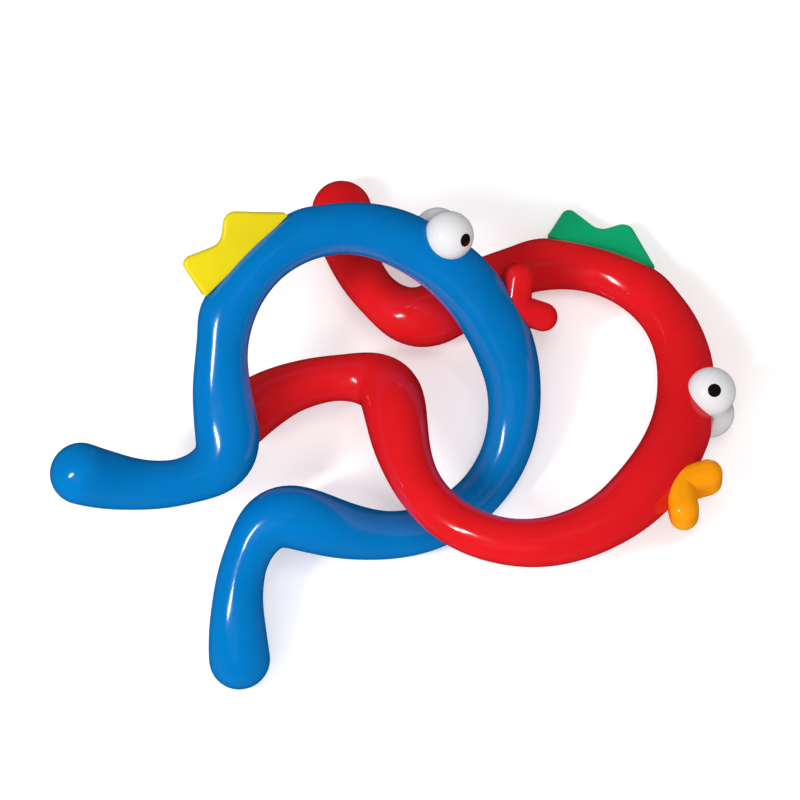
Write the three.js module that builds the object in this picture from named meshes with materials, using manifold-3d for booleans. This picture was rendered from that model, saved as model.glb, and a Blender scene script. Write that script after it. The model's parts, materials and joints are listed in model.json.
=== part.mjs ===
// Twisty snake puzzle: two linked plastic snakes.
//
// Each snake is one hollow tube, bent into an open ring whose two ends turn outwards into
// legs with swollen feet. The tube is moulded in two halves, front and back, which meet on a
// surface that runs along the tube's sides. A crest stands in a shallow slot, a pair of eyes straddles
// the tube, and a pair of lips sits in a notch between forehead and chin. Each of them has stems
// that the two halves clamp between them.
//
// Millimetres and degrees. A snake's own frame has its ring in the XY plane, with the gap on +X,
// the crest's leg on +Y and the snake's front on -Z. The other leg is the same shape, turned half
// a turn about X.
import * as THREE from 'three';
import { mergeVertices } from 'three/addons/utils/BufferGeometryUtils.js';
import Module from 'manifold-3d';

const wasm = await Module();
wasm.setup();

// ---------------------------------------------------------------- driving dimensions

const CROWN_X = -48.3;          // the centre line at the crown, opposite the gap
const WALL = 2.0;
const GAP = 0.3;                // clearance between pieces that touch
const OVERRUN = 1;              // how far a cut runs past the face that it opens
const CUT_SIZE = 32;            // of a block that cuts right across the tube

// One leg's centre line, from the crown to the foot's end, as a run of arcs. Each has a length, a
// turn towards the inside of the ring, and a turn towards the front.
const CENTRE_LINE = [
  { length: 25.5, inward: 18.0, forward: 4.8 },     // crown
  { length: 83.1, inward: 118.0, forward: 0 },      // side of the ring
  { length: 17.9, inward: 12.4, forward: -5.9 },    // thigh
  { length: 12.8, inward: -6.8, forward: 16.3 },    // twist above the knee
  { length: 13.7, inward: -75.1, forward: -5.2 },   // knee
  { length: 19.8, inward: -20.6, forward: 0 },      // shin
  { length: 21.9, inward: -15.0, forward: 21.7 },   // foot
];

// How far the tube's surface is from its centre line, at places along it: away from the middle of
// the ring, towards it, and to the front and back. Places are measured from the crown, and are
// positive along the crest's leg. The head is the swelling round the crown.
const RING_SIZES = [
  [-110, 8.1, 7.9, 8.0],
  [-100, 7.4, 7.5, 7.5],
  [-70, 7.4, 7.3, 7.4],
  [-60, 7.75, 7.55, 7.7],
  [-45, 8.15, 8.25, 8.0],
  [-35, 8.9, 8.4, 8.3],
  [-25, 10.6, 8.5, 8.5],        // chin
  [-18, 11.6, 8.4, 8.5],
  [-5, 11.9, 8.0, 8.4],
  [8, 11.8, 8.0, 8.3],          // forehead
  [18, 10.2, 8.4, 8.3],
  [28, 9.3, 9.1, 8.4],
  [40, 8.1, 9.0, 8.3],
  [50, 7.7, 8.6, 8.1],
  [56, 7.6, 8.5, 8.0],
  [61, 8.9, 8.4, 7.9],          // crest, from here to 98.5
  [69, 7.4, 8.2, 7.85],
  [78, 6.7, 8.0, 7.85],
  [88, 7.3, 8.1, 7.9],
  [98.5, 10.1, 8.25, 8.0],
  [104, 8.3, 8.2, 8.05],
  [110, 8.2, 8.1, 8.1],
];
const LEG_SIZES = [
  [115, 8.7, 8.45, 8.5],
  [125, 9.7, 9.5, 9.5],
  [135, 10.1, 10.5, 10.2],
  [141, 9.7, 10.4, 10.2],
  [146, 9.6, 9.2, 9.6],         // knee
  [150, 9.6, 8.0, 8.8],
  [155, 8.6, 7.2, 7.7],
  [160, 7.3, 7.3, 7.3],         // shin
  [167, 7.5, 7.6, 7.55],
  [175, 8.1, 8.05, 8.05],
  [185, 9.5, 9.0, 9.2],
  [194.7, 10.0, 9.7, 9.8],      // foot
];

const STATION_PITCH = 9.5;      // greatest distance between sections along the centre line
const STATION_TURN = 20;        // greatest turn between sections, in degrees
const HALF_SIDES = 7;           // facets round half of the tube
const BORE_SIDES = 4;           // facets round half of the bore
const CAP_STEPS = 3;            // sections along a rounded end
const CAP_ANGLE = 84;           // how far round the end they go, before a small flat tip

// Locating pins stand in the back half and enter bosses in the front half.
const PIN_PLACES = [44, 150];   // along each leg's centre line, from the crown
const PIN = { radius: 1.3, reach: 3.0, boss: 2.8, clearance: 0.2, bite: 1.4 };

// Stems that hold the trim. The collar stands inside the tube, and its top is this far from the
// centre line.
const STEM = { radius: 1.8, collar: 2.5, collarThickness: 1.4, collarTop: 3.65 };

// The crest stands in a slot on the outside of the ring. Its outline is measured along the slot's
// floor, positive towards the foot, and up from it.
const CREST = {
  place: 78.4,                  // its origin, along the crest leg's centre line
  seat: 5.35,                   // the slot's floor, out from the centre line
  outline: [
    [20.4, 0], [18.8, 12.5], [17.2, 13.3], [5.1, 8.9], [-1.2, 13.5], [-3.8, 13.4], [-17.2, 0],
  ],
  base: 4.8,                    // thickness at the floor
  ridge: 2.4,                   // thickness at the top
  height: 13.5,
  stems: [-6, 7],
};

const EYES = { place: 18.3, out: 8.95, spread: 6.6, radius: 7.9, crease: 12 };
const PUPIL = { radius: 2.1, depth: 0.5, proud: 0.15, ahead: 27, outward: 12 };
const EYE_SIDES = 16;
const PUPIL_SIDES = 12;
const BAR_SIDES = 8;

const LIPS = {
  place: 11.9,                  // along the other leg's centre line
  root: 9.9,                    // the V's corner, out from the centre line
  reach: 9.8,                   // from the corner to the middle of a lobe's round end
  radius: 4.6,                  // half of a lobe's thickness
  halfWidth: 6,                 // half of its extent across the tube
  edge: 2.6,                    // bevel round the lobes
  opening: 100,                 // angle between the two lobes
};

// How the two snakes lie on a table.
const POSES = {
  blue: { position: [-14.08, 1.0, 34.61], turn: [-159.04, -16.37, 140.87] },
  red: { position: [40.67, 2.84, 22.92], turn: [161.12, -3.12, -157.88] },
};

const COLOURS = {
  blue: { body: 0x0070bc, crest: 0xe4d41e, lips: 0xce1e26 },
  red: { body: 0xd61f26, crest: 0x00a368, lips: 0xf59b1e },
};
const EYE_COLOUR = 0xe8e8eb;
const PUPIL_COLOUR = 0x14100e;
const ROUGHNESS = 0.25;         // smooth moulded plastic

// ---------------------------------------------------------------- solids

const WELD = 1e-4;              // points closer than this are one point

const radians = THREE.MathUtils.degToRad;

/** A closed geometry as a manifold solid. */
function solid(geometry) {
  const bare = geometry.clone();
  bare.deleteAttribute('normal');
  bare.deleteAttribute('uv');
  const welded = mergeVertices(bare, WELD);
  return new wasm.Manifold(new wasm.Mesh({
    numProp: 3,
    vertProperties: new Float32Array(welded.attributes.position.array),
    triVerts: new Uint32Array(welded.index.array),
  }));
}

/** A manifold solid as a three.js geometry. */
function geometryOf(body) {
  const mesh = body.getMesh();
  const geometry = new THREE.BufferGeometry();
  geometry.setAttribute('position', new THREE.BufferAttribute(mesh.vertProperties, 3));
  geometry.setIndex(new THREE.BufferAttribute(mesh.triVerts, 1));
  geometry.computeVertexNormals();
  return geometry;
}

/** A round bar between two points. */
function bar(from, to, radius, sides = BAR_SIDES) {
  const run = to.clone().sub(from);
  const geometry = new THREE.CylinderGeometry(radius, radius, run.length(), sides);
  const turn = new THREE.Quaternion().setFromUnitVectors(
    new THREE.Vector3(0, 1, 0),
    run.clone().normalize(),
  );
  geometry.applyQuaternion(turn);
  geometry.translate(...from.clone().add(to).multiplyScalar(0.5).toArray());
  return solid(geometry);
}

// ---------------------------------------------------------------- the tube's centre line

/**
 * The frame at a distance along one leg: the point, and the directions along the centre line,
 * inwards and to the front. Leg 1 is the crest's leg, and leg -1 is the other.
 */
function frameAt(distance, leg) {
  const frame = {
    at: new THREE.Vector3(CROWN_X, 0, 0),
    along: new THREE.Vector3(0, 1, 0),
    inward: new THREE.Vector3(1, 0, 0),
    front: new THREE.Vector3(0, 0, -1),
  };
  let left = distance;
  for (const arc of CENTRE_LINE) {
    const share = Math.min(1, left / arc.length);
    advance(frame, arc, share);
    left -= arc.length;
    if (left <= 0) break;
  }
  if (leg < 0) {
    for (const key of ['at', 'along', 'inward', 'front']) {
      frame[key].applyAxisAngle(new THREE.Vector3(1, 0, 0), Math.PI);
    }
    frame.front.negate();
  }
  return frame;
}

/** Moves a frame along a share of one arc. */
function advance(frame, arc, share) {
  const turn = Math.hypot(radians(arc.inward), radians(arc.forward));
  const towards = frame.inward.clone().multiplyScalar(radians(arc.inward) / turn)
    .addScaledVector(frame.front, radians(arc.forward) / turn);
  const axis = frame.along.clone().cross(towards);
  const bend = arc.length / turn;
  const angle = turn * share;
  frame.at.addScaledVector(frame.along, bend * Math.sin(angle));
  frame.at.addScaledVector(towards, bend * (1 - Math.cos(angle)));
  for (const key of ['along', 'inward', 'front']) {
    frame[key].applyAxisAngle(axis, angle);
  }
}

const SIZES = [
  ...LEG_SIZES.map(([place, ...sizes]) => [-place, ...sizes]).toReversed(),
  ...RING_SIZES,
  ...LEG_SIZES,
];

/** The tube's sizes at a signed place from the crown. */
function sizesAt(place) {
  const found = SIZES.findIndex(([end]) => end >= place);
  const next = found < 0 ? SIZES.length - 1 : Math.max(1, found);
  const [before, after] = [SIZES[next - 1], SIZES[next]];
  const share = THREE.MathUtils.clamp((place - before[0]) / (after[0] - before[0]), 0, 1);
  const [outer, inner, depth] = [1, 2, 3].map((i) => before[i] + (after[i] - before[i]) * share);
  return { outer, inner, depth };
}

/** The bore is round, and leaves at least the wall's thickness all round. */
function boreSize({ outer, inner, depth }) {
  const radius = Math.min(outer, inner, depth) - WALL;
  return { outer: radius, inner: radius, depth: radius };
}

function clearSize({ outer, inner, depth }) {
  return { outer: outer + GAP, inner: inner + GAP, depth: depth + GAP };
}

/** Distances of the sections along one leg, without the crown's. */
function legDistances() {
  const distances = [];
  let start = 0;
  for (const arc of CENTRE_LINE) {
    const steps = Math.ceil(Math.max(
      arc.length / STATION_PITCH,
      Math.abs(arc.inward) / STATION_TURN,
    ));
    for (let step = 1; step <= steps; step++) {
      distances.push(start + (arc.length * step) / steps);
    }
    start += arc.length;
  }
  return distances;
}

/**
 * Sections of the tube from the end of leg -1 to the end of leg 1, rounded ends included. Each
 * has its side axis level with the ring, which keeps the parting surface along the tube's sides.
 */
function tubeSections(resize = (sizes) => sizes) {
  const distances = legDistances();
  const sections = [
    ...distances.toReversed().map((distance) => section(distance, -1, resize)),
    ...[0, ...distances].map((distance) => section(distance, 1, resize)),
  ];
  return [
    ...roundedEnd(sections[0], -1).toReversed(),
    ...sections,
    ...roundedEnd(sections.at(-1), 1),
  ];
}

function section(distance, leg, resize = (sizes) => sizes) {
  const frame = frameAt(distance, leg);
  const along = frame.along.clone().multiplyScalar(leg);
  const side = new THREE.Vector3(0, 0, -1).cross(along).normalize();
  const front = along.clone().cross(side);
  return { at: frame.at, along, side, front, sizes: resize(sizesAt(leg * distance)) };
}

/** The shrinking sections of a round end beyond a section. */
function roundedEnd(last, direction) {
  const { outer, inner, depth } = last.sizes;
  const cap = [];
  for (let step = 1; step <= CAP_STEPS; step++) {
    const angle = radians((CAP_ANGLE * step) / CAP_STEPS);
    const share = Math.cos(angle);
    const at = last.at.clone().addScaledVector(last.along, direction * depth * Math.sin(angle));
    const sizes = { outer: outer * share, inner: inner * share, depth: depth * share };
    cap.push({ ...last, at, sizes });
  }
  return cap;
}

// ---------------------------------------------------------------- sweeps

/**
 * A closed skin through the sections. outline(sizes) lists [side, front] points, anticlockwise.
 * A strip's two triangles meet on one diagonal or the other, so that two skins can share a surface.
 */
function sweep(sections, outline, otherDiagonal = false) {
  const positions = [];
  const faces = [];
  const count = outline(sections[0].sizes).length;
  for (const { at, side, front, sizes } of sections) {
    for (const [x, y] of outline(sizes)) {
      positions.push(...at.clone().addScaledVector(side, x).addScaledVector(front, y).toArray());
    }
  }
  for (let row = 0; row + 1 < sections.length; row++) {
    for (let i = 0; i < count; i++) {
      const next = (i + 1) % count;
      const [a, b] = [row * count + i, row * count + next];
      const [c, d] = [b + count, a + count];
      faces.push(...(otherDiagonal ? [a, b, d, b, c, d] : [a, b, c, a, c, d]));
    }
  }
  const end = (sections.length - 1) * count;
  for (let i = 1; i + 1 < count; i++) {
    faces.push(0, i + 1, i);
    faces.push(end, end + i, end + i + 1);
  }
  const geometry = new THREE.BufferGeometry();
  geometry.setAttribute('position', new THREE.Float32BufferAttribute(positions, 3));
  geometry.setIndex(faces);
  return solid(geometry);
}

/** Points on an arc of the tube's section, which is a little egg-shaped. */
function arcPoints({ outer, inner, depth }, from, to, sides) {
  const points = [];
  for (let i = 0; i <= sides; i++) {
    const angle = radians(from + ((to - from) * i) / sides);
    const reach = Math.cos(angle) > 0 ? inner : outer;
    points.push([reach * Math.cos(angle), depth * Math.sin(angle)]);
  }
  return points;
}

/** An arc round the front half (1) or the back half (-1) of the section. */
function halfArc(sizes, half, sides) {
  return half > 0 ? arcPoints(sizes, 0, 180, sides) : arcPoints(sizes, 180, 360, sides);
}

/** Half of the section, clear of the parting surface. */
function halfOutline(sizes, half) {
  return halfArc(sizes, half, HALF_SIDES).map(([x, y]) => [x, half * Math.max(half * y, GAP / 2)]);
}

/** Half of the bore, carried past the parting surface. */
function boreOutline(sizes, half) {
  const corner = half * sizes.inner;
  return [[corner, -half * OVERRUN], ...halfArc(sizes, half, BORE_SIDES), [-corner, -half * OVERRUN]];
}

/** The whole section. */
function wholeOutline(sizes) {
  return arcPoints(sizes, 0, 360, 2 * HALF_SIDES).slice(0, -1);
}

/** The whole tube, swollen by the clearance, which the eyes are cut to sit on. */
const TUBE = sweep(tubeSections(clearSize), wholeOutline);

// ---------------------------------------------------------------- places for the trim

/** Axes of a piece on the outside of the ring: X along the ring, Y outwards. */
function trimMatrix(frame, slide, out) {
  const outward = frame.inward.clone().negate();
  const matrix = new THREE.Matrix4().makeBasis(
    frame.along,
    outward,
    frame.along.clone().cross(outward),
  );
  const at = frame.at.clone().addScaledVector(frame.along, slide).addScaledVector(outward, out);
  return matrix.setPosition(at);
}

const CREST_START = CREST.outline.at(-1)[0];
const CREST_END = CREST.outline[0][0];

/** A block across the ring at the crest: its bottom and top out from the centre line. */
function crestBlock(bottom, top, margin, width) {
  const length = CREST_END - CREST_START + 2 * margin;
  const block = new THREE.BoxGeometry(length, top - bottom, width);
  const middle = (CREST_START + CREST_END) / 2;
  block.applyMatrix4(trimMatrix(frameAt(CREST.place, 1), middle, (bottom + top) / 2));
  return solid(block);
}

/** Everything outside a level across the ring at the crest. */
function beyondLevel(out) {
  return crestBlock(out, out + CUT_SIZE, CUT_SIZE / 4, CUT_SIZE);
}

function crestSlot() {
  return crestBlock(CREST.seat, CREST.seat + CUT_SIZE, GAP, CREST.base + 2 * GAP);
}

/** Where each stem goes: its frame, how far along it stands, its outer end and its collar's top. */
function stemPlaces() {
  const crestFrame = frameAt(CREST.place, 1);
  const crestCollar = CREST.seat - WALL - 2 * GAP;
  return {
    crest: CREST.stems.map((slide) => (
      { frame: crestFrame, slide, outer: CREST.seat + WALL, collar: crestCollar }
    )),
    eyes: [
      { frame: frameAt(EYES.place, 1), slide: 0, outer: EYES.out + WALL, collar: STEM.collarTop },
    ],
    lips: [
      { frame: frameAt(LIPS.place, -1), slide: 0, outer: LIPS.root, collar: STEM.collarTop },
    ],
  };
}

/** One stem with its collar, or with clearance and no collar the hole that it needs. */
function stem({ frame, slide, outer, collar }, clearance = 0) {
  const start = frame.at.clone().addScaledVector(frame.along, slide);
  const pointAt = (out) => start.clone().addScaledVector(frame.inward, -out);
  const bottom = collar - STEM.collarThickness;
  if (clearance > 0) {
    return bar(pointAt(bottom), pointAt(outer), STEM.radius + clearance);
  }
  const shaft = bar(pointAt((bottom + collar) / 2), pointAt(outer), STEM.radius);
  return shaft.add(bar(pointAt(bottom), pointAt(collar), STEM.collar));
}

// ---------------------------------------------------------------- pieces

/** One moulded half of the tube: 1 is the front, -1 is the back. */
function makeShell(half) {
  const bore = sweep(tubeSections(boreSize), (sizes) => boreOutline(sizes, half))
    .subtract(beyondLevel(CREST.seat - WALL));
  let shell = sweep(tubeSections(), (sizes) => halfOutline(sizes, half), half < 0)
    .subtract(bore)
    .subtract(crestSlot())
    .subtract(lipsPlate(GAP, 2 * LIPS.halfWidth, 0));
  for (const place of Object.values(stemPlaces()).flat()) {
    shell = shell.subtract(stem(place, GAP));
  }
  for (const leg of [1, -1]) {
    for (const distance of PIN_PLACES) {
      shell = half > 0 ? addSocket(shell, distance, leg) : addPin(shell, distance, leg);
    }
  }
  return shell;
}

/** A point on a pin's axis, at a height up the tube from the parting surface. */
function pinPoint(distance, leg, height) {
  const place = section(distance, leg);
  return place.at.clone().addScaledVector(place.front, height);
}

function addPin(shell, distance, leg) {
  const root = PIN.bite - section(distance, leg).sizes.depth;
  const boss = bar(pinPoint(distance, leg, root), pinPoint(distance, leg, -GAP / 2), PIN.boss);
  const pin = bar(pinPoint(distance, leg, root), pinPoint(distance, leg, PIN.reach), PIN.radius);
  return shell.add(boss).add(pin);
}

function addSocket(shell, distance, leg) {
  const root = section(distance, leg).sizes.depth - PIN.bite;
  const boss = bar(pinPoint(distance, leg, GAP / 2), pinPoint(distance, leg, root), PIN.boss);
  const hole = bar(
    pinPoint(distance, leg, -OVERRUN),
    pinPoint(distance, leg, PIN.reach + GAP),
    PIN.radius + PIN.clearance,
  );
  return shell.add(boss).subtract(hole);
}

/** An outline extruded by a depth, centred on its plane. */
function plate(points, depth) {
  const outline = new THREE.Shape(points.map(([x, y]) => new THREE.Vector2(x, y)));
  const geometry = new THREE.ExtrudeGeometry(outline, { depth, bevelEnabled: false });
  return geometry.translate(0, 0, -depth / 2);
}

/** The crest: a saw-toothed fin, thinner at its ridge than at its base. */
function makeCrest() {
  const top = CREST.height;
  const [base, ridge] = [CREST.base / 2, CREST.ridge / 2];
  const wedge = plate([[-base, 0], [base, 0], [ridge, top], [-ridge, top]], 2 * CUT_SIZE);
  wedge.rotateY(Math.PI / 2);
  const fin = solid(plate(CREST.outline, CREST.base)).intersect(solid(wedge));
  const matrix = trimMatrix(frameAt(CREST.place, 1), 0, CREST.seat + GAP);
  let crest = solid(geometryOf(fin).applyMatrix4(matrix));
  for (const place of stemPlaces().crest) {
    crest = crest.add(stem(place));
  }
  return crest;
}

function eyeCentre(frame, face) {
  return frame.at.clone()
    .addScaledVector(frame.inward, -EYES.out)
    .addScaledVector(frame.front, face * EYES.spread);
}

/** Where an eye looks: to its own side, turned ahead towards the lips and a little outwards. */
function gaze(frame, face) {
  return frame.front.clone().multiplyScalar(face)
    .addScaledVector(frame.along, -Math.tan(radians(PUPIL.ahead)))
    .addScaledVector(frame.inward, -Math.tan(radians(PUPIL.outward)))
    .normalize();
}

/** The pocket for a pupil, or the pupil itself when shrunk by the clearance. */
function pupilDisc(frame, face, shrink) {
  const centre = eyeCentre(frame, face);
  const towards = gaze(frame, face);
  const pointAt = (out) => centre.clone().addScaledVector(towards, out);
  const floor = EYES.radius - PUPIL.depth + shrink;
  const top = EYES.radius + (shrink > 0 ? PUPIL.proud : OVERRUN);
  return bar(pointAt(floor), pointAt(top), PUPIL.radius - shrink, PUPIL_SIDES);
}

/** Half of the eyes' outline, from a ball's outer tip to the hollow between the balls. */
function eyeOutline() {
  const [ballSteps, hollowSteps] = [9, 2];
  const hollow = Math.sqrt((EYES.radius + EYES.crease) ** 2 - EYES.spread ** 2);
  const touch = Math.atan2(hollow, EYES.spread);
  const points = [];
  for (let step = 0; step <= ballSteps; step++) {
    const angle = ((Math.PI - touch) * step) / ballSteps;
    points.push(new THREE.Vector2(
      EYES.radius * Math.sin(angle),
      EYES.spread + EYES.radius * Math.cos(angle),
    ));
  }
  for (let step = 1; step <= hollowSteps; step++) {
    const angle = touch + ((Math.PI / 2 - touch) * step) / hollowSteps;
    points.push(new THREE.Vector2(
      hollow - EYES.crease * Math.sin(angle),
      EYES.crease * Math.cos(angle),
    ));
  }
  return points;
}

/** The eyes: two merged balls that straddle the tube. */
function makeEyes() {
  const frame = frameAt(EYES.place, 1);
  const half = eyeOutline();
  const mirrored = half.slice(0, -1).toReversed().map(({ x, y }) => new THREE.Vector2(x, -y));
  const balls = new THREE.LatheGeometry([...half, ...mirrored].toReversed(), EYE_SIDES);
  const matrix = new THREE.Matrix4().makeBasis(
    frame.along,
    frame.front,
    frame.along.clone().cross(frame.front),
  );
  matrix.setPosition(frame.at.clone().addScaledVector(frame.inward, -EYES.out));
  let eyes = solid(balls.applyMatrix4(matrix)).subtract(TUBE);
  for (const face of [1, -1]) {
    eyes = eyes.subtract(pupilDisc(frame, face, 0));
  }
  return eyes.add(stem(stemPlaces().eyes[0]));
}

function makePupil(face) {
  return pupilDisc(frameAt(EYES.place, 1), face, GAP);
}

/** Two round-ended lobes that open outwards in a V, or with clearance the notch they sit in. */
function lipsPlate(clearance, halfWidth, edge) {
  const frame = frameAt(LIPS.place, -1);
  const corner = frame.at.clone().addScaledVector(frame.inward, -LIPS.root);
  const radius = LIPS.radius + clearance - edge;
  const lobes = [1, -1].map((way) => {
    const outline = new THREE.Shape();
    outline.absarc(0, LIPS.reach, radius, 0, Math.PI);
    outline.absarc(0, 0, radius, Math.PI, 2 * Math.PI);
    const lobe = new THREE.ExtrudeGeometry(outline, {
      depth: 2 * (halfWidth - edge),
      curveSegments: 5,
      bevelEnabled: edge > 0,
      bevelSize: edge,
      bevelThickness: edge,
      bevelSegments: 2,
    });
    lobe.translate(0, 0, edge - halfWidth);
    const half = radians(LIPS.opening / 2) * way;
    const run = frame.inward.clone().negate().applyAxisAngle(frame.front, half);
    const matrix = new THREE.Matrix4().makeBasis(run.clone().cross(frame.front), run, frame.front);
    return solid(lobe.applyMatrix4(matrix.setPosition(corner)));
  });
  return lobes[0].add(lobes[1]);
}

function makeLips() {
  return lipsPlate(0, LIPS.halfWidth, LIPS.edge).add(stem(stemPlaces().lips[0]));
}

// ---------------------------------------------------------------- the object

const SHAPES = {
  front_shell: { geometry: geometryOf(makeShell(1)), paint: 'body' },
  back_shell: { geometry: geometryOf(makeShell(-1)), paint: 'body' },
  crest: { geometry: geometryOf(makeCrest()), paint: 'crest' },
  eyes: { geometry: geometryOf(makeEyes()), paint: 'eyes' },
  near_pupil: { geometry: geometryOf(makePupil(1)), paint: 'pupils' },
  far_pupil: { geometry: geometryOf(makePupil(-1)), paint: 'pupils' },
  lips: { geometry: geometryOf(makeLips()), paint: 'lips' },
};

function makeSnake(name) {
  const paints = { ...COLOURS[name], eyes: EYE_COLOUR, pupils: PUPIL_COLOUR };
  const snake = new THREE.Group();
  for (const [piece, { geometry, paint }] of Object.entries(SHAPES)) {
    const material = new THREE.MeshStandardMaterial({
      color: paints[paint],
      roughness: ROUGHNESS,
      metalness: 0,
    });
    const mesh = new THREE.Mesh(geometry, material);
    mesh.name = `${name}_${piece}`;
    snake.add(mesh);
  }
  const { position, turn } = POSES[name];
  snake.position.set(...position);
  snake.rotation.set(...turn.map(radians), 'XYZ');
  return snake;
}

const group = new THREE.Group();
group.add(makeSnake('blue'), makeSnake('red'));

// The origin is on the table, under the middle of the object.
const box = new THREE.Box3().setFromObject(group, true);
const middle = box.getCenter(new THREE.Vector3());
group.position.set(-middle.x, -middle.y, -box.min.z);

export default group;
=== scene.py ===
"""Looks of the twisty snake puzzle: two linked plastic snakes, one blue and one red.

Each snake is a hollow tube, moulded in a front and a back half and bent into an open ring with two
legs. A crest, a pair of eyes and a pair of lips sit on the ring. Shapes are worked out in a snake's
own frame, in millimetres, and then placed with that snake's pose. In a snake's own frame the ring
is in the XY plane with its gap on +X, leg 1 (the crest's) on +Y, and the snake's front on -Z.
"""

import json
import math
from collections import namedtuple

import bmesh
import bpy
from mathutils import Matrix, Vector
from mathutils.geometry import delaunay_2d_cdt


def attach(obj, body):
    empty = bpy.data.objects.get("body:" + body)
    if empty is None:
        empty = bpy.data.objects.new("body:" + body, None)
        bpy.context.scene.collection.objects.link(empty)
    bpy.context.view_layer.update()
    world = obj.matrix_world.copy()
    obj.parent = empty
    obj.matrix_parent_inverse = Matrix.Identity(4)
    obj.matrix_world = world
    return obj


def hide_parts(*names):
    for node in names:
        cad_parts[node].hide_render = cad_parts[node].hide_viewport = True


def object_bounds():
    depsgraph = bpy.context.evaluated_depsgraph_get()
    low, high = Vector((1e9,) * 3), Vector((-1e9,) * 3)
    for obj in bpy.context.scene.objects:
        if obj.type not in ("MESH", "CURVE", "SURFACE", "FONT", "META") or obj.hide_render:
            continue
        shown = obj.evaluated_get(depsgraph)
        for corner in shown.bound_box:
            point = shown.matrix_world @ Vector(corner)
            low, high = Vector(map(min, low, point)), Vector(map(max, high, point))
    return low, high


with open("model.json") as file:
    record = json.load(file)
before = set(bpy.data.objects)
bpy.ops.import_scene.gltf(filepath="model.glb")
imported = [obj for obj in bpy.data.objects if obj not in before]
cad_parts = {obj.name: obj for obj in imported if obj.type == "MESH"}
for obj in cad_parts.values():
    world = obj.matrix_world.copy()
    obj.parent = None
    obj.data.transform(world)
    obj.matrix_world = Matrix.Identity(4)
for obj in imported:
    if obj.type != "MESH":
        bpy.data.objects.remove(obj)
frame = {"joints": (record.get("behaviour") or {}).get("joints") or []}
cad_low, cad_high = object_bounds()

# ---------------------------------------------------------------- driving dimensions

MM = 0.001
CROWN_X = -48.3                 # the centre line at the crown, opposite the gap
WALL = 2.0
RING_CENTRE = Vector((-8, 0, 0))

# One leg's centre line, from the crown to the foot's end, as a run of arcs. Each has a length, a
# turn towards the inside of the ring, and a turn towards the front.
CENTRE_LINE = [
    (25.5, 18.0, 4.8),          # crown
    (83.1, 118.0, 0),           # side of the ring
    (17.9, 12.4, -5.9),         # thigh
    (12.8, -6.8, 16.3),         # twist above the knee
    (13.7, -75.1, -5.2),        # knee
    (19.8, -20.6, 0),           # shin
    (21.9, -15.0, 21.7),        # foot
]
LEG_LENGTH = sum(arc[0] for arc in CENTRE_LINE)

# How far the tube's surface is from its centre line, at runs along it from the crown, positive
# along the crest's leg: away from the middle of the ring, towards it, and to the front and back.
# The head is the swelling round the crown.
RING_SIZES = [
    (-110, 8.1, 7.9, 8.0),
    (-100, 7.4, 7.5, 7.5),
    (-70, 7.4, 7.3, 7.4),
    (-60, 7.75, 7.55, 7.7),
    (-45, 8.15, 8.25, 8.3),
    (-35, 8.9, 8.4, 8.9),
    (-25, 10.6, 8.5, 9.8),        # chin
    (-18, 11.6, 8.4, 10.3),
    (-5, 11.9, 8.0, 10.6),
    (8, 11.8, 8.0, 10.4),         # forehead
    (18, 10.2, 8.4, 9.6),
    (28, 9.3, 9.1, 8.9),
    (40, 8.1, 9.0, 8.4),
    (50, 7.7, 8.6, 8.1),
    (56, 7.6, 8.5, 8.0),
    (61, 8.9, 8.4, 7.9),        # crest, from here to 98.5
    (69, 7.0, 8.2, 7.85),
    (78, 6.2, 8.0, 7.85),
    (88, 7.0, 8.1, 7.9),
    (98.5, 10.1, 8.25, 8.0),
    (104, 8.3, 8.2, 8.05),
    (110, 8.2, 8.1, 8.1),
]
LEG_SIZES = [
    (115, 8.7, 8.45, 8.5),
    (125, 9.7, 9.5, 9.5),
    (135, 10.1, 10.5, 10.2),
    (141, 9.7, 10.4, 10.2),
    (146, 9.6, 9.2, 9.6),       # knee
    (150, 9.6, 8.0, 8.8),
    (155, 8.6, 7.2, 7.7),
    (160, 7.3, 7.3, 7.3),       # shin
    (167, 7.5, 7.6, 7.55),
    (175, 8.1, 8.05, 8.05),
    (185, 9.5, 9.0, 9.2),
    (194.7, 10.0, 9.7, 9.8),    # foot
]
SIZES = [(-run, *sizes) for run, *sizes in reversed(LEG_SIZES)] + RING_SIZES + LEG_SIZES

STATION_PITCH = 1.3             # between sections along the centre line
EASING = 4.0                    # each section is the mean of the centre line this far either way
EASING_SAMPLES = 9
TANGENT_STEP = 0.2              # either side of a section, to find the way the tube runs there
HALF_SIDES = 40                 # facets round half of the tube
BORE_SIDES = 16                 # facets round half of the bore
CAP_STEPS = 14                  # sections round the end of a foot
SEAM_GAP = 0.03                 # between the two mouldings
SEAM_EDGE = 0.1                 # radius of each moulding's edge at the seam
TRIM_GAP = 0.1                  # between the trim and the tube
CUT_SIZE = 32                   # of a block that cuts right across the tube
WELD = 1e-4                     # points closer than this are one point
SHARP_ANGLE = 38                # between faces, beyond which an edge isn't smoothed over

CREST_PLACE = 78.4              # its origin, along the crest leg's centre line
CREST_SEAT = 5.35               # the floor of the slot it stands in, out from the centre line
CREST_BASE = 4.8                # thickness at the floor
CREST_RIDGE = 2.4               # and at the top
CREST_HEIGHT = 13.8
CREST_BASE_EDGE = 0.2           # radius of the crest's edge at its base
CREST_EDGE = 1.0                # and higher up
CREST_EDGE_RISE = 2.5           # how far up the edge takes to get there
# Corners from the leg's side to the crown's: along the floor and up, with the corner's radius.
CREST_CORNERS = [
    (20.4, 0, 0.6), (18.4, 14.1, 2.6), (5.1, 8.2, 5.0), (-2.7, 15.0, 3.8), (-17.2, 0, 0.6),
]
CREST_REACH = 1.5 * CREST_CORNERS[0][0]     # the bore is kept below the slot this far either way
FLANK_PITCH = 1.6               # of the grid of points on the crest's flank
FLANK_COLUMNS = range(-12, 13)
FLANK_ROWS = range(1, 9)

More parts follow.
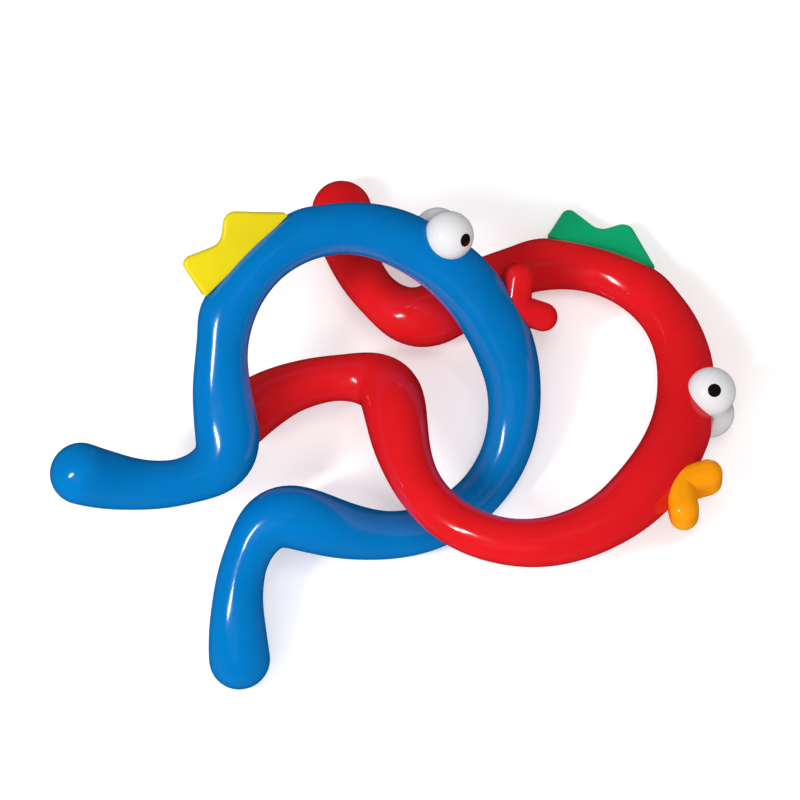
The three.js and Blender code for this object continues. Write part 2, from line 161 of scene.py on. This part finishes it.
EYES_PLACE = 18.3               # along the crest leg's centre line
EYES_OUT = 8.95
EYE_SPREAD = 6.6                # of each ball's middle, from the middle of the tube
EYE_RADIUS = 7.9
EYES_CREASE = 12.0              # radius of the hollow between the balls
EYES_REACH = 22                 # stretch of the tube that the eyes are cut to, either way
PUPIL_RADIUS = 2.1
PUPIL_AHEAD = 27                # angles between the pupil and the eye's own side
PUPIL_OUTWARD = 12
PUPIL_FLOOR = 0.5               # depth of its pocket
PUPIL_PROUD = 0.12
PUPIL_GAP = 0.05                # between the pupil and its pocket's side
PUPIL_SIDES = 48

LIPS_PLACE = 11.9               # along the other leg's centre line
LIPS_ROOT = 9.9                 # the V's corner, out from the centre line
LOBE_REACH = 9.8                # from the corner to the middle of a lobe's round end
LOBE_RADIUS = 4.7               # half of a lobe's thickness
LOBE_HALF_WIDTH = 6.2           # half of its extent across the tube
LOBE_EDGE = 3.9                 # radius of its edges
LIPS_OPENING = 100              # angle between the lobes
LIPS_REACH = 25                 # stretch of the tube that the lips are cut to, either way
LIPS_VOXEL = 0.3                # the lobes are melted together on a grid of this pitch
LIPS_SMOOTHING = 6              # rounds of smoothing after that

# How the snakes lie on the table: the place and turn of each one's own frame.
POSES = {
    "blue": ((-14.08, 1.0, 34.61), (-159.04, -16.37, 140.87)),
    "red": ((40.67, 2.84, 22.92), (161.12, -3.12, -157.88)),
}

# ---------------------------------------------------------------- materials

# The plastic's marks, in cycles per metre.
CLOUD_SCALE = 45                # cloudy pigment
SPECKLE_SCALE = 2600            # and its grain
SMUDGE_SCALE = 110              # handling marks
RIPPLE_SCALE = 420              # uneven moulding
SCRATCH_SCALE = 60
SCRATCH_STRETCH = (1, 14, 9)
SCRATCH_TURN = (0.4, 0.9, 0.3)
SCRATCH_WIDTH = 0.003           # as a share of the noise's range, either way from its middle
SCRATCH_DULLING = 0.06          # roughness that a scratch adds
NOISE_RANGE = (0.3, 0.7)        # where nearly all of a noise's values lie


def linear(channel):
    """One sRGB channel, 0 to 255, as linear light."""
    share = channel / 255
    return share / 12.92 if share <= 0.04045 else ((share + 0.055) / 1.055) ** 2.4


def noise(nodes, links, coordinates, scale, detail, low, high):
    """A noise that runs from low to high over the given scale, in cycles per metre."""
    texture = nodes.new("ShaderNodeTexNoise")
    texture.inputs["Scale"].default_value = scale
    texture.inputs["Detail"].default_value = detail
    links.new(coordinates, texture.inputs["Vector"])
    spread = nodes.new("ShaderNodeMapRange")
    spread.inputs["From Min"].default_value = NOISE_RANGE[0]
    spread.inputs["From Max"].default_value = NOISE_RANGE[1]
    spread.inputs["To Min"].default_value = low
    spread.inputs["To Max"].default_value = high
    links.new(texture.outputs["Fac"], spread.inputs["Value"])
    return spread.outputs["Result"]


def scratches(nodes, links, coordinates):
    """A mask of fine scratches: the thin bands where a stretched noise crosses its middle."""
    stretch = nodes.new("ShaderNodeMapping")
    stretch.inputs["Rotation"].default_value = SCRATCH_TURN
    stretch.inputs["Scale"].default_value = SCRATCH_STRETCH
    links.new(coordinates, stretch.inputs["Vector"])
    hair = nodes.new("ShaderNodeTexNoise")
    hair.inputs["Scale"].default_value = SCRATCH_SCALE
    hair.inputs["Detail"].default_value = 1
    links.new(stretch.outputs["Vector"], hair.inputs["Vector"])
    band = nodes.new("ShaderNodeValToRGB")
    before, after = band.color_ramp.elements
    before.position, before.color = 0.5 - SCRATCH_WIDTH, (0, 0, 0, 1)
    after.position, after.color = 0.5 + SCRATCH_WIDTH, (0, 0, 0, 1)
    band.color_ramp.elements.new(0.5).color = (1, 1, 1, 1)
    links.new(hair.outputs["Fac"], band.inputs["Fac"])
    return band.outputs["Color"]


def moulded_plastic(name, colour, roughness=0.14, clouding=0.05, translucency=0.04):
    """Glossy moulded plastic: cloudy pigment, a faint ripple, handling smudges and scratches."""
    material = bpy.data.materials.new(name)
    material.use_nodes = True
    nodes, links = material.node_tree.nodes, material.node_tree.links
    shader = nodes["Principled BSDF"]
    coordinates = nodes.new("ShaderNodeTexCoord").outputs["Object"]
    base = [linear(channel) for channel in colour]

    cloud = noise(nodes, links, coordinates, CLOUD_SCALE, 3, 1 - clouding, 1 + clouding)
    speckle = noise(nodes, links, coordinates, SPECKLE_SCALE, 2, 0.985, 1.015)
    both = nodes.new("ShaderNodeMath")
    both.operation = "MULTIPLY"
    links.new(cloud, both.inputs[0])
    links.new(speckle, both.inputs[1])
    tint = nodes.new("ShaderNodeVectorMath")
    tint.operation = "SCALE"
    tint.inputs[0].default_value = base
    links.new(both.outputs["Value"], tint.inputs["Scale"])
    links.new(tint.outputs["Vector"], shader.inputs["Base Color"])

    smudge = noise(nodes, links, coordinates, SMUDGE_SCALE, 4, roughness - 0.03, roughness + 0.04)
    dulled = nodes.new("ShaderNodeMath")
    dulled.operation = "MULTIPLY_ADD"
    dulled.inputs[1].default_value = SCRATCH_DULLING
    links.new(scratches(nodes, links, coordinates), dulled.inputs[0])
    links.new(smudge, dulled.inputs[2])
    links.new(dulled.outputs["Value"], shader.inputs["Roughness"])

    ripple = noise(nodes, links, coordinates, RIPPLE_SCALE, 2, 0, 1)
    bump = nodes.new("ShaderNodeBump")
    bump.inputs["Strength"].default_value = 0.12
    bump.inputs["Distance"].default_value = 0.06 * MM
    links.new(ripple, bump.inputs["Height"])
    links.new(bump.outputs["Normal"], shader.inputs["Normal"])

    shader.inputs["IOR"].default_value = 1.5
    shader.inputs["Subsurface Weight"].default_value = translucency
    shader.inputs["Subsurface Radius"].default_value = base
    shader.inputs["Subsurface Scale"].default_value = 2 * MM
    return material


MATERIALS = {
    "blue_plastic": moulded_plastic("blue_plastic", (0, 113, 184)),
    "red_plastic": moulded_plastic("red_plastic", (214, 24, 30)),
    "yellow_plastic": moulded_plastic("yellow_plastic", (226, 206, 14), roughness=0.3),
    "green_plastic": moulded_plastic("green_plastic", (0, 172, 112), roughness=0.3),
    "orange_plastic": moulded_plastic("orange_plastic", (246, 152, 10)),
    "white_plastic": moulded_plastic(
        "white_plastic", (226, 226, 228), clouding=0.02, translucency=0.15
    ),
    "black_plastic": moulded_plastic("black_plastic", (22, 14, 12), roughness=0.12),
}
SLOTS = {
    "blue": {"shell": "blue_plastic", "crest": "yellow_plastic", "lips": "red_plastic"},
    "red": {"shell": "red_plastic", "crest": "green_plastic", "lips": "orange_plastic"},
}

# ---------------------------------------------------------------- the tube's centre line

Place = namedtuple("Place", "at along inward front")
Section = namedtuple("Section", "at along side front sizes")
Sizes = namedtuple("Sizes", "outer inner depth")


def place_at(distance, leg):
    """The point and the directions at a distance along one leg."""
    at, along = Vector((CROWN_X, 0, 0)), Vector((0, 1, 0))
    inward, front = Vector((1, 0, 0)), Vector((0, 0, -1))
    left = distance
    for length, inward_turn, forward_turn in CENTRE_LINE:
        share = min(1, left / length)
        turns = Vector((math.radians(inward_turn), math.radians(forward_turn)))
        towards = (inward * turns.x + front * turns.y) / turns.length
        bend = length / turns.length
        angle = turns.length * share
        at = at + along * bend * math.sin(angle) + towards * bend * (1 - math.cos(angle))
        spin = Matrix.Rotation(angle, 3, along.cross(towards))
        along, inward, front = spin @ along, spin @ inward, spin @ front
        left -= length
        if left <= 0:
            break
    if leg < 0:
        half_turn = Matrix.Rotation(math.pi, 3, "X")
        at, along, inward, front = (half_turn @ v for v in (at, along, inward, front))
        front = -front
    return Place(at, along, inward, front)


def sizes_at(run):
    """The tube's sizes at a run from the crown."""
    following = next((i for i, row in enumerate(SIZES) if row[0] >= run), len(SIZES) - 1)
    before, after = SIZES[max(following - 1, 0)], SIZES[max(following, 1)]
    share = min(1, max(0, (run - before[0]) / (after[0] - before[0])))
    return Vector([b + (a - b) * share for b, a in zip(before[1:], after[1:])])


def eased(run):
    """The point and sizes at a run from the crown, eased where one arc meets the next."""
    total, sizes = Vector(), Vector()
    for sample in range(EASING_SAMPLES):
        spot = run + EASING * (2 * sample / (EASING_SAMPLES - 1) - 1)
        reach = min(abs(spot), LEG_LENGTH)
        place = place_at(reach, 1 if spot >= 0 else -1)
        total += place.at + place.along * (abs(spot) - reach)
        sizes += sizes_at(spot)
    return total / EASING_SAMPLES, sizes / EASING_SAMPLES


def section_at(run):
    """A section whose side axis is level with the ring, so the seam runs along the tube's sides."""
    at, sizes = eased(run)
    along = (eased(run + TANGENT_STEP)[0] - eased(run - TANGENT_STEP)[0]).normalized()
    side = Vector((0, 0, -1)).cross(along).normalized()
    return Section(at, along, side, along.cross(side), Sizes(*sizes))


def runs_between(start, end):
    steps = math.ceil((end - start) / STATION_PITCH)
    return [start + (end - start) * step / steps for step in range(steps + 1)]


# ---------------------------------------------------------------- mesh helpers


def finished(mesh, name):
    """A bmesh as an object, with its faces turned outwards."""
    bmesh.ops.recalc_face_normals(mesh, faces=mesh.faces)
    data = bpy.data.meshes.new(name)
    mesh.to_mesh(data)
    mesh.free()
    piece = bpy.data.objects.new(name, data)
    bpy.context.scene.collection.objects.link(piece)
    return piece


def loft(name, rings, flat_ends=False):
    """A skin through rings of points. A ring may have shrunk to a point or a line."""
    mesh = bmesh.new()
    rows = [[mesh.verts.new(point) for point in ring] for ring in rings]
    for lower, upper in zip(rows, rows[1:]):
        for i in range(len(lower)):
            j = (i + 1) % len(lower)
            mesh.faces.new((lower[i], lower[j], upper[j], upper[i]))
    if flat_ends:
        mesh.faces.new(rows[0])
        mesh.faces.new(rows[-1])
    bmesh.ops.remove_doubles(mesh, verts=mesh.verts, dist=WELD)
    return finished(mesh, name)


def lathe(name, profile, matrix, sides=96):
    """A solid of revolution about local Z. The profile lists heights and radii, from axis to axis."""
    rings = []
    for height, radius in profile:
        ring = []
        for side in range(sides):
            angle = 2 * math.pi * side / sides
            point = Vector((radius * math.cos(angle), radius * math.sin(angle), height))
            ring.append(matrix @ point)
        rings.append(ring)
    return loft(name, rings)


def apply_modifiers(piece):
    depsgraph = bpy.context.evaluated_depsgraph_get()
    made = bpy.data.meshes.new_from_object(piece.evaluated_get(depsgraph))
    old = piece.data
    piece.modifiers.clear()
    piece.data = made
    bpy.data.meshes.remove(old)


def combine(piece, tool, operation):
    """An exact boolean of the piece with a tool, which is used up."""
    modifier = piece.modifiers.new("cut", "BOOLEAN")
    modifier.operation = operation
    modifier.object = tool
    modifier.solver = "EXACT"
    apply_modifiers(piece)
    bpy.data.objects.remove(tool)
    return piece


def axes(x, y, z, origin):
    """The matrix that takes local X, Y and Z to these directions, and the local origin to a point."""
    matrix = Matrix((x, y, z)).transposed().to_4x4()
    matrix.translation = origin
    return matrix


def arc(centre, radius, start, end, steps):
    """Points on a flat arc, angles in radians."""
    angles = [start + (end - start) * step / steps for step in range(steps + 1)]
    return [(centre[0] + radius * math.cos(a), centre[1] + radius * math.sin(a)) for a in angles]


# ---------------------------------------------------------------- the tube's two halves

CREST_FRAME = place_at(CREST_PLACE, 1)


def half_skin(sizes):
    """The outer outline of a half, from one side to the other, with a small edge at each seam."""
    lift = SEAM_GAP / 2
    edge = min(SEAM_EDGE, sizes.inner * 0.4)
    start = math.atan2(lift + edge, sizes.inner)
    corner = arc((-edge, lift + edge), edge, -math.pi / 2, 0, 3)[:-1]
    beside = start + min(math.radians(1), start)
    span = math.pi - 2 * beside
    angles = [start]
    angles += [beside + span * step / HALF_SIDES for step in range(HALF_SIDES + 1)]
    angles.append(math.pi - start)
    skin = []
    for angle in angles:
        reach = sizes.inner if math.cos(angle) > 0 else sizes.outer
        skin.append((reach * math.cos(angle), max(lift, sizes.depth * math.sin(angle))))
    inner_corner = [(sizes.inner + x, y) for x, y in corner]
    outer_corner = [(-sizes.outer - x, y) for x, y in reversed(corner)]
    return inner_corner + skin + outer_corner


def half_bore(sizes):
    points = arc((0, 0), sizes.depth, math.pi, 0, BORE_SIDES)
    return [(x, max(SEAM_GAP / 2, y)) for x, y in points]


def bore_sizes(sizes):
    """The bore is round, and leaves at least the wall's thickness all round."""
    radius = min(sizes) - WALL
    return Sizes(radius, radius, radius)


def under_slot(point):
    """A point of the bore, kept a wall's thickness below the crest's slot."""
    from_crest = point - CREST_FRAME.at
    out = -from_crest.dot(CREST_FRAME.inward)
    limit = CREST_SEAT - WALL
    if abs(from_crest.dot(CREST_FRAME.along)) < CREST_REACH and out > limit:
        return point + CREST_FRAME.inward * (out - limit)
    return point


def half_ring(section, half, tilt):
    """One closed loop round a half's wall. The tilt leans it over the round end of a foot."""
    ring = []
    for sizes, outline, kept in (
        (section.sizes, half_skin, lambda point: point),
        (bore_sizes(section.sizes), half_bore, under_slot),
    ):
        middle = section.at + section.along * sizes.depth * math.sin(tilt)
        tilted = Sizes(*(size * math.cos(tilt) for size in sizes))
        for x, y in outline(tilted):
            ring.append(kept(middle + section.side * x + section.front * half * y))
    return ring


def crest_block(bottom, top, margin, width):
    """A block across the ring at the crest: its bottom and top out from the centre line."""
    outward = -CREST_FRAME.inward
    across = CREST_FRAME.along.cross(outward)
    start, end = CREST_CORNERS[-1][0] - margin, CREST_CORNERS[0][0] + margin
    side = width / 2
    rings = []
    for out in (bottom, top):
        rings.append([
            CREST_FRAME.at + outward * out + CREST_FRAME.along * x + across * z
            for x, z in ((start, -side), (end, -side), (end, side), (start, side))
        ])
    return loft("block", rings, flat_ends=True)


def make_shell(half):
    sections = [section_at(run) for run in runs_between(-LEG_LENGTH, LEG_LENGTH)]
    tilts = [math.pi / 2 * step / CAP_STEPS for step in range(CAP_STEPS, 0, -1)]
    rings = [half_ring(sections[0], half, -tilt) for tilt in tilts]
    rings += [half_ring(section, half, 0) for section in sections]
    rings += [half_ring(sections[-1], half, tilt) for tilt in reversed(tilts)]
    shell = loft("shell", rings)
    slot = crest_block(CREST_SEAT, CREST_SEAT + CUT_SIZE, TRIM_GAP, CREST_BASE + 2 * TRIM_GAP)
    return combine(shell, slot, "DIFFERENCE")


def tube_between(start, end):
    """A solid stretch of the tube, swollen by the trim's clearance, to cut the trim with."""
    rings = []
    for run in runs_between(start, end):
        section = section_at(run)
        ring = []
        for x, y in arc((0, 0), 1, 0, 2 * math.pi, 2 * HALF_SIDES)[:-1]:
            reach = (section.sizes.inner if x > 0 else section.sizes.outer) + TRIM_GAP
            depth = section.sizes.depth + TRIM_GAP
            ring.append(section.at + section.side * x * reach + section.front * y * depth)
        rings.append(ring)
    return loft("tube", rings, flat_ends=True)


# ---------------------------------------------------------------- crest


def rounded(corners, pitch):
    """A closed outline with round corners, stepped at most a pitch apart."""
    outline = []
    count = len(corners)
    for i, (x, y, radius) in enumerate(corners):
        corner = Vector((x, y))
        before = (Vector(corners[i - 1][:2]) - corner).normalized()
        after = (Vector(corners[(i + 1) % count][:2]) - corner).normalized()
        half_angle = before.angle(after) / 2
        centre = corner + (before + after).normalized() * radius / math.sin(half_angle)
        start = corner + before * radius / math.tan(half_angle) - centre
        sweep = math.pi - 2 * half_angle
        turn = -math.copysign(sweep, before.x * after.y - before.y * after.x)
        steps = max(3, math.ceil(radius * sweep / pitch * 2))
        first = math.atan2(start.y, start.x)
        outline += [Vector(p) for p in arc(centre, radius, first, first + turn, steps)]
    dense = []
    for i, point in enumerate(outline):
        following = outline[(i + 1) % len(outline)]
        steps = max(1, math.ceil((following - point).length / pitch))
        dense += [point.lerp(following, step / steps) for step in range(steps)]
    return dense


def crest_half_width(point):
    """Half of the crest's thickness, less towards the ridge."""
    return (CREST_BASE + (CREST_RIDGE - CREST_BASE) * point.y / CREST_HEIGHT) / 2


def crest_edge(point):
    """The radius of the crest's edge, small at its base."""
    share = min(1, max(0, point.y / CREST_EDGE_RISE))
    return CREST_BASE_EDGE + (CREST_EDGE - CREST_BASE_EDGE) * share


def crest_rings(outline):
    """The crest's round edge on one side, as rings of points with their heights off the middle."""
    count = len(outline)
    inwards = []
    for i in range(count):
        run = outline[(i + 1) % count] - outline[i - 1]
        inwards.append(Vector((-run.y, run.x)).normalized())
    steps = 5
    rings = []
    for step in range(steps + 1):
        angle = math.pi / 2 * step / steps
        ring = []
        for point, inward in zip(outline, inwards):
            edge = crest_edge(point)
            spot = point + inward * edge * (1 - math.cos(angle))
            ring.append((spot, crest_half_width(spot) - edge * (1 - math.sin(angle))))
        rings.append(ring)
    return rings


def crest_flank(border):
    """Triangles inside the border, over a grid of points. Gives the points and the triangles."""
    inside = []
    for column in FLANK_COLUMNS:
        for row in FLANK_ROWS:
            point = Vector((column * FLANK_PITCH, row * FLANK_PITCH))
            if min((point - spot).length for spot in border) > FLANK_PITCH * 0.6:
                inside.append(point)
    count = len(border)
    edges = [(i, (i + 1) % count) for i in range(count)]
    flat = delaunay_2d_cdt(border + inside, edges, [list(range(count))], 1, 1e-5)
    return flat[0], flat[2]


def make_crest():
    outline = rounded(CREST_CORNERS, 0.6)
    count = len(outline)
    rings = crest_rings(outline)
    points, triangles = crest_flank([spot for spot, _ in rings[-1]])
    outward = -CREST_FRAME.inward
    across = CREST_FRAME.along.cross(outward)
    matrix = axes(
        CREST_FRAME.along, outward, across, CREST_FRAME.at + outward * (CREST_SEAT + TRIM_GAP)
    )
    mesh = bmesh.new()
    edge_rows = []
    for way in (1, -1):
        rows = [
            [mesh.verts.new(matrix @ Vector((spot.x, spot.y, way * width))) for spot, width in ring]
            for ring in rings
        ]
        for lower, upper in zip(rows, rows[1:]):
            for i in range(count):
                j = (i + 1) % count
                mesh.faces.new((lower[i], lower[j], upper[j], upper[i]))
        flank = [
            mesh.verts.new(matrix @ Vector((p.x, p.y, way * crest_half_width(p)))) for p in points
        ]
        for triangle in triangles:
            mesh.faces.new([flank[i] for i in triangle])
        edge_rows.append(rows[0])
    for i in range(count):
        j = (i + 1) % count
        mesh.faces.new((edge_rows[0][i], edge_rows[0][j], edge_rows[1][j], edge_rows[1][i]))
    bmesh.ops.remove_doubles(mesh, verts=mesh.verts, dist=10 * WELD)
    return finished(mesh, "crest")


# ---------------------------------------------------------------- eyes and pupils

EYES_FRAME = place_at(EYES_PLACE, 1)


def eye_profile():
    """Two balls on one axis, with a shallow hollow where they merge."""
    hollow_centre = math.sqrt((EYE_RADIUS + EYES_CREASE) ** 2 - EYE_SPREAD ** 2)
    touch = math.atan2(hollow_centre, EYE_SPREAD)
    ball = arc((EYE_SPREAD, 0), EYE_RADIUS, 0, math.pi - touch, 40)
    hollow = arc((0, hollow_centre), EYES_CREASE, -touch, -math.pi / 2, 12)[1:]
    half = ball + hollow
    return half + [(-height, radius) for height, radius in reversed(half[:-1])]


# How far the ball's skin at the pupil's edge is from the ball's middle, along the gaze.
RIM = math.sqrt(EYE_RADIUS ** 2 - PUPIL_RADIUS ** 2)


def gaze_matrix(face):
    """Local Z looks out of an eye, from the ball's middle."""
    ahead = -EYES_FRAME.along * math.tan(math.radians(PUPIL_AHEAD))
    outward = -EYES_FRAME.inward * math.tan(math.radians(PUPIL_OUTWARD))
    look = (EYES_FRAME.front * face + ahead + outward).normalized()
    across = look.orthogonal().normalized()
    centre = EYES_FRAME.at - EYES_FRAME.inward * EYES_OUT + EYES_FRAME.front * face * EYE_SPREAD
    return axes(across, look.cross(across), look, centre)


def make_eyes():
    outward = -EYES_FRAME.inward
    matrix = axes(
        EYES_FRAME.along,
        EYES_FRAME.front.cross(EYES_FRAME.along),
        EYES_FRAME.front,
        EYES_FRAME.at + outward * EYES_OUT,
    )
    eyes = lathe("eyes", eye_profile(), matrix)
    tube = tube_between(EYES_PLACE - EYES_REACH, EYES_PLACE + EYES_REACH)
    combine(eyes, tube, "DIFFERENCE")
    floor, beyond = EYE_RADIUS - PUPIL_FLOOR, EYE_RADIUS + 1
    wall = PUPIL_RADIUS + PUPIL_GAP
    mouth = wall + 0.2          # a chamfer, from just under the ball's skin
    pocket = [
        (floor, 0), (floor, wall), (RIM - 0.06, wall),
        (RIM + 0.1, mouth), (beyond, mouth), (beyond, 0),
    ]
    for face in (1, -1):
        combine(eyes, lathe("pocket", pocket, gaze_matrix(face), PUPIL_SIDES), "DIFFERENCE")
    return eyes


def make_pupil(face):
    """A disc with a domed face and a small round edge."""
    floor = EYE_RADIUS - PUPIL_FLOOR + 0.02
    top = EYE_RADIUS + PUPIL_PROUD
    rim = RIM + 0.05
    edge = 0.15
    profile = [(floor, 0), (floor, PUPIL_RADIUS), (rim - edge, PUPIL_RADIUS)]
    profile += [
        (rim - edge + edge * math.sin(a), PUPIL_RADIUS - edge + edge * math.cos(a))
        for a in (math.radians(30), math.radians(60))
    ]
    steps = 8
    for step in range(steps, -1, -1):
        share = step / steps
        profile.append((top - (top - rim) * share ** 2, (PUPIL_RADIUS - edge) * share))
    return lathe("pupil", profile, gaze_matrix(face), PUPIL_SIDES)


# ---------------------------------------------------------------- lips


def make_lobe(matrix, corner_side):
    """
    A plate with round edges: local Y runs along it, and Z across it. One end is round, and the
    other comes to the V's corner on one side of X.
    """
    edge_steps, tip_steps, root_steps = 8, 20, 12
    levels = []
    for step in range(edge_steps + 1):
        angle = math.pi / 2 * step / edge_steps
        inset = LOBE_EDGE * (1 - math.sin(angle))
        levels.append((LOBE_HALF_WIDTH - LOBE_EDGE * (1 - math.cos(angle)), LOBE_RADIUS - inset))
    opening = math.radians(LIPS_OPENING)
    rings = []
    for height, radius in levels + [(-height, radius) for height, radius in reversed(levels)]:
        outline = arc((0, LOBE_REACH), radius, 0, math.pi, tip_steps)
        outline += arc((0, 0), radius, math.pi, math.pi + opening, root_steps)
        outline.append((radius, -radius / math.tan(opening / 2)))
        rings.append([matrix @ Vector((corner_side * x, y, height)) for x, y in outline])
    return loft("lobe", rings, flat_ends=True)


def make_lips():
    """Two lobes that open outwards in a V, melted together at its corner."""
    place = place_at(LIPS_PLACE, -1)
    corner = place.at - place.inward * LIPS_ROOT
    lobes = []
    for way in (1, -1):
        tilt = Matrix.Rotation(math.radians(LIPS_OPENING / 2) * way, 3, place.front)
        run = tilt @ -place.inward
        lobes.append(make_lobe(axes(run.cross(place.front), run, place.front, corner), -way))
    lips = combine(lobes[0], lobes[1], "UNION")
    melt = lips.modifiers.new("melt", "REMESH")
    melt.mode = "VOXEL"
    melt.voxel_size = LIPS_VOXEL
    soften = lips.modifiers.new("soften", "SMOOTH")
    soften.factor = 0.5
    soften.iterations = LIPS_SMOOTHING
    apply_modifiers(lips)
    tube = tube_between(-LIPS_PLACE - LIPS_REACH, -LIPS_PLACE + LIPS_REACH)
    return combine(lips, tube, "DIFFERENCE")


# ---------------------------------------------------------------- the two snakes

SHAPES = {
    "front_shell": (make_shell(1), "shell"),
    "back_shell": (make_shell(-1), "shell"),
    "crest": (make_crest(), "crest"),
    "eyes": (make_eyes(), "eyes"),
    "near_pupil": (make_pupil(1), "pupils"),
    "far_pupil": (make_pupil(-1), "pupils"),
    "lips": (make_lips(), "lips"),
}


def pose_matrix(name):
    position, (x, y, z) = POSES[name]
    turn = (
        Matrix.Rotation(math.radians(x), 4, "X")
        @ Matrix.Rotation(math.radians(y), 4, "Y")
        @ Matrix.Rotation(math.radians(z), 4, "Z")
    )
    return Matrix.Scale(MM, 4) @ Matrix.Translation(position) @ turn


# The joint stands at the middle of the blue ring, which ties the snakes' poses to the table.
TABLE_SHIFT = Vector(frame["joints"][0]["pos_m"]) - pose_matrix("blue") @ RING_CENTRE


def place_snake(name):
    slots = {**SLOTS[name], "eyes": "white_plastic", "pupils": "black_plastic"}
    matrix = Matrix.Translation(TABLE_SHIFT) @ pose_matrix(name)
    for shape, (pattern, part) in SHAPES.items():
        data = pattern.data.copy()
        data.transform(matrix)
        data.shade_smooth()
        data.set_sharp_from_angle(angle=math.radians(SHARP_ANGLE))
        piece = bpy.data.objects.new(f"{name}_{shape}_look", data)
        bpy.context.scene.collection.objects.link(piece)
        data.materials.clear()
        data.materials.append(MATERIALS[slots[part]])
        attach(piece, f"{name}_snake")
        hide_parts(f"{name}_{shape}")


place_snake("blue")
place_snake("red")
for pattern, _ in SHAPES.values():
    bpy.data.objects.remove(pattern)

# ---------------------------------------------------------------- table, lights and camera

AIM = TABLE_SHIFT + Vector((0, 0, 0.0305))
CAMERA_AZIMUTH, CAMERA_ELEVATION, CAMERA_ROLL = 12.61, 73.80, -13.11
CAMERA_DISTANCE, CAMERA_LENS = 1.5723, 221.1


def looking_from(azimuth, elevation, roll=0):
    """The turn of something that faces the object from a direction, in degrees."""
    a, e = math.radians(azimuth), math.radians(elevation)
    back = Vector((math.sin(a) * math.cos(e), -math.cos(a) * math.cos(e), math.sin(e)))
    right = Matrix.Rotation(math.radians(roll), 3, back) @ Vector((math.cos(a), math.sin(a), 0))
    return axes(right, back.cross(right), back, AIM)


def add_camera():
    data = bpy.data.cameras.new("camera")
    data.lens = CAMERA_LENS
    data.clip_end = 20
    camera = bpy.data.objects.new("camera", data)
    turn = looking_from(CAMERA_AZIMUTH, CAMERA_ELEVATION, CAMERA_ROLL)
    camera.matrix_world = turn @ Matrix.Translation((0, 0, CAMERA_DISTANCE))
    bpy.context.scene.collection.objects.link(camera)
    bpy.context.scene.camera = camera


def add_floor():
    half = 6.0
    corners = [(-half, -half, 0), (half, -half, 0), (half, half, 0), (-half, half, 0)]
    data = bpy.data.meshes.new("floor")
    data.from_pydata(corners, [], [(0, 1, 2, 3)])
    floor = bpy.data.objects.new("floor", data)
    floor.location.z = cad_low.z
    bpy.context.scene.collection.objects.link(floor)
    material = bpy.data.materials.new("floor")
    material.use_nodes = True
    shader = material.node_tree.nodes["Principled BSDF"]
    shader.inputs["Base Color"].default_value = (0.8, 0.8, 0.8, 1)
    shader.inputs["Roughness"].default_value = 0.8
    shader.inputs["Specular IOR Level"].default_value = 0.2
    shader.inputs["Emission Color"].default_value = (1, 1, 1, 1)
    shader.inputs["Emission Strength"].default_value = 0.38
    data.materials.append(material)
    floor.visible_glossy = False


def add_softbox(name, azimuth, elevation, distance, width, height, power, glossy=True):
    data = bpy.data.lights.new(name, "AREA")
    data.shape = "RECTANGLE"
    data.size, data.size_y = width, height
    data.energy = power
    lamp = bpy.data.objects.new(name, data)
    lamp.matrix_world = looking_from(azimuth, elevation) @ Matrix.Translation((0, 0, distance))
    lamp.visible_glossy = glossy
    bpy.context.scene.collection.objects.link(lamp)


def add_sky(strength):
    world = bpy.data.worlds.new("studio")
    world.use_nodes = True
    background = world.node_tree.nodes["Background"]
    background.inputs["Color"].default_value = (1, 1, 1, 1)
    background.inputs["Strength"].default_value = strength
    world.cycles_visibility.glossy = False
    bpy.context.scene.world = world


add_camera()
add_floor()
add_softbox("key", azimuth=-60, elevation=52, distance=1.3, width=0.09, height=0.38, power=7)
add_softbox(
    "top", azimuth=60, elevation=80, distance=1.6, width=0.6, height=0.6, power=8, glossy=False
)
add_softbox(
    "fill", azimuth=-20, elevation=45, distance=1.6, width=0.9, height=0.9, power=8, glossy=False
)
add_sky(0.36)
bpy.context.scene.view_settings.view_transform = "Standard"
